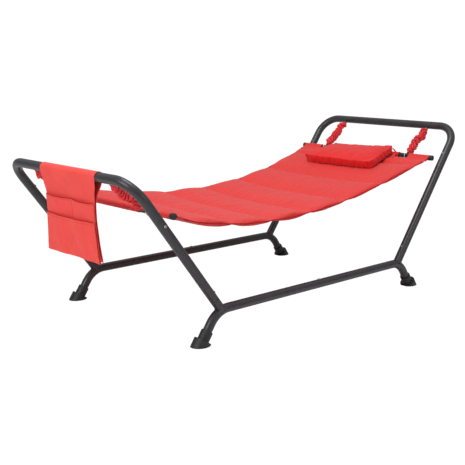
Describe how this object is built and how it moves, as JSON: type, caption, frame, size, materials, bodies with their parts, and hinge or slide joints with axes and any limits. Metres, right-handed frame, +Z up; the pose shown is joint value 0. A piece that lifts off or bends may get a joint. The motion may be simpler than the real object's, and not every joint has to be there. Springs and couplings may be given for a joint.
{
  "type": "hammock on stand",
  "caption": "Padded fabric hammock bed hung on elastic straps in a bolted tubular steel stand, with a pillow at the head and a hanging pocket bag at the foot.",
  "frame": {"origin": "on the floor, midway along the overall length and width", "axes": "+X towards the head end, +Y towards the right-hand side of a person lying with the head at +X, +Z up"},
  "size_m": [2.043, 0.942, 0.7715],
  "materials": {
    "frame_tube": "dark charcoal powder coat, satin",
    "bar_tube": "black paint, satin",
    "black_plastic": "fine-grained moulded plastic",
    "bright_screw": "zinc plated",
    "bright_hook": "bright plated wire",
    "elastic_cord": "woven elastic, matt",
    "bed_fabric": "plain-weave polyester, soft sheen",
    "pillow_fabric": "plain-weave polyester, soft sheen",
    "strap_fabric": "ruched polyester",
    "bag_fabric": "plain-weave polyester, hemmed"
  },
  "bodies": {
    "stand": {"base_rail_foot_left": "frame_tube", "base_rail_foot_right": "frame_tube", "base_rail_head_left": "frame_tube", "base_rail_head_right": "frame_tube", "upright_stub_foot_left": "frame_tube", "upright_stub_foot_right": "frame_tube", "upright_stub_head_left": "frame_tube", "upright_stub_head_right": "frame_tube", "weld_beads": "frame_tube", "upright_tube_foot_left": "frame_tube", "upright_tube_foot_right": "frame_tube", "upright_tube_head_left": "frame_tube", "upright_tube_head_right": "frame_tube", "end_frame_foot": "frame_tube", "end_frame_head": "frame_tube", "foot_cap_foot_left": "black_plastic", "foot_cap_foot_right": "black_plastic", "foot_cap_head_left": "black_plastic", "foot_cap_head_right": "black_plastic", "rail_screws": "bright_screw", "upright_lower_screws": "bright_screw", "upright_upper_screws": "bright_screw", "foot_upright_side_screws": "bright_screw", "crossbar_eyes": "frame_tube"},
    "bed": {"spreader_bar_foot": "bar_tube", "spreader_bar_head": "bar_tube", "bar_end_cap_foot_left": "black_plastic", "bar_end_cap_foot_right": "black_plastic", "bar_end_cap_head_left": "black_plastic", "bar_end_cap_head_right": "black_plastic", "padded_bed": "bed_fabric", "bed_hem_foot": "bed_fabric", "bed_hem_head": "bed_fabric"},
    "strap_foot_left": {"strap_ring_foot_left": "bright_hook", "strap_hook_foot_left": "bright_hook", "strap_elastic_foot_left": "elastic_cord", "strap_cover_foot_left": "strap_fabric"},
    "strap_foot_right": {"strap_ring_foot_right": "bright_hook", "strap_hook_foot_right": "bright_hook", "strap_elastic_foot_right": "elastic_cord", "strap_cover_foot_right": "strap_fabric"},
    "strap_head_left": {"strap_ring_head_left": "bright_hook", "strap_hook_head_left": "bright_hook", "strap_elastic_head_left": "elastic_cord", "strap_cover_head_left": "strap_fabric"},
    "strap_head_right": {"strap_ring_head_right": "bright_hook", "strap_hook_head_right": "bright_hook", "strap_elastic_head_right": "elastic_cord", "strap_cover_head_right": "strap_fabric"},
    "pillow": {"pillow": "pillow_fabric", "pillow_tie_left": "pillow_fabric", "pillow_tie_right": "pillow_fabric"},
    "bag": {"bag_sleeve": "bag_fabric", "bag_back": "bag_fabric", "bag_upper_pocket": "bag_fabric", "bag_lower_pocket": "bag_fabric"}
  },
  "joints": [
    {"name": "bed_sway", "type": "slide", "parent": "stand", "child": "bed", "axis": [0, 1, 0], "range_m": [-0.035, 0.035], "stiffness_N_per_m": 60},
    {"name": "strap_foot_left_hinge", "type": "hinge", "parent": "stand", "child": "strap_foot_left", "pos_m": [-0.97671, -0.27, 0.64646], "axis": [0.5934, 0, 0.8049], "range_deg": [-10, 10]},
    {"name": "strap_foot_right_hinge", "type": "hinge", "parent": "stand", "child": "strap_foot_right", "pos_m": [-0.97671, 0.27, 0.64646], "axis": [0.5934, 0, 0.8049], "range_deg": [-10, 10]},
    {"name": "strap_head_left_hinge", "type": "hinge", "parent": "stand", "child": "strap_head_left", "pos_m": [0.97912, -0.27, 0.73464], "axis": [0.6074, 0, -0.7944], "range_deg": [-10, 10]},
    {"name": "strap_head_right_hinge", "type": "hinge", "parent": "stand", "child": "strap_head_right", "pos_m": [0.97912, 0.27, 0.73464], "axis": [0.6074, 0, -0.7944], "range_deg": [-10, 10]},
    {"name": "pillow_flip", "type": "hinge", "parent": "bed", "child": "pillow", "pos_m": [0.81666, 0, 0.61043], "axis": [0, 1, 0], "range_deg": [0, 120]},
    {"name": "bag_swing", "type": "hinge", "parent": "stand", "child": "bag", "pos_m": [-1.00045, 0, 0.66396], "axis": [0, 1, 0], "range_deg": [-40, 60]}
  ],
  "couplings": [
    {"joint": "strap_foot_left_hinge", "follows": "bed_sway", "rad_per_m": 4.7059},
    {"joint": "strap_foot_right_hinge", "follows": "bed_sway", "rad_per_m": 4.7059},
    {"joint": "strap_head_left_hinge", "follows": "bed_sway", "rad_per_m": 4.89},
    {"joint": "strap_head_right_hinge", "follows": "bed_sway", "rad_per_m": 4.89}
  ]
}
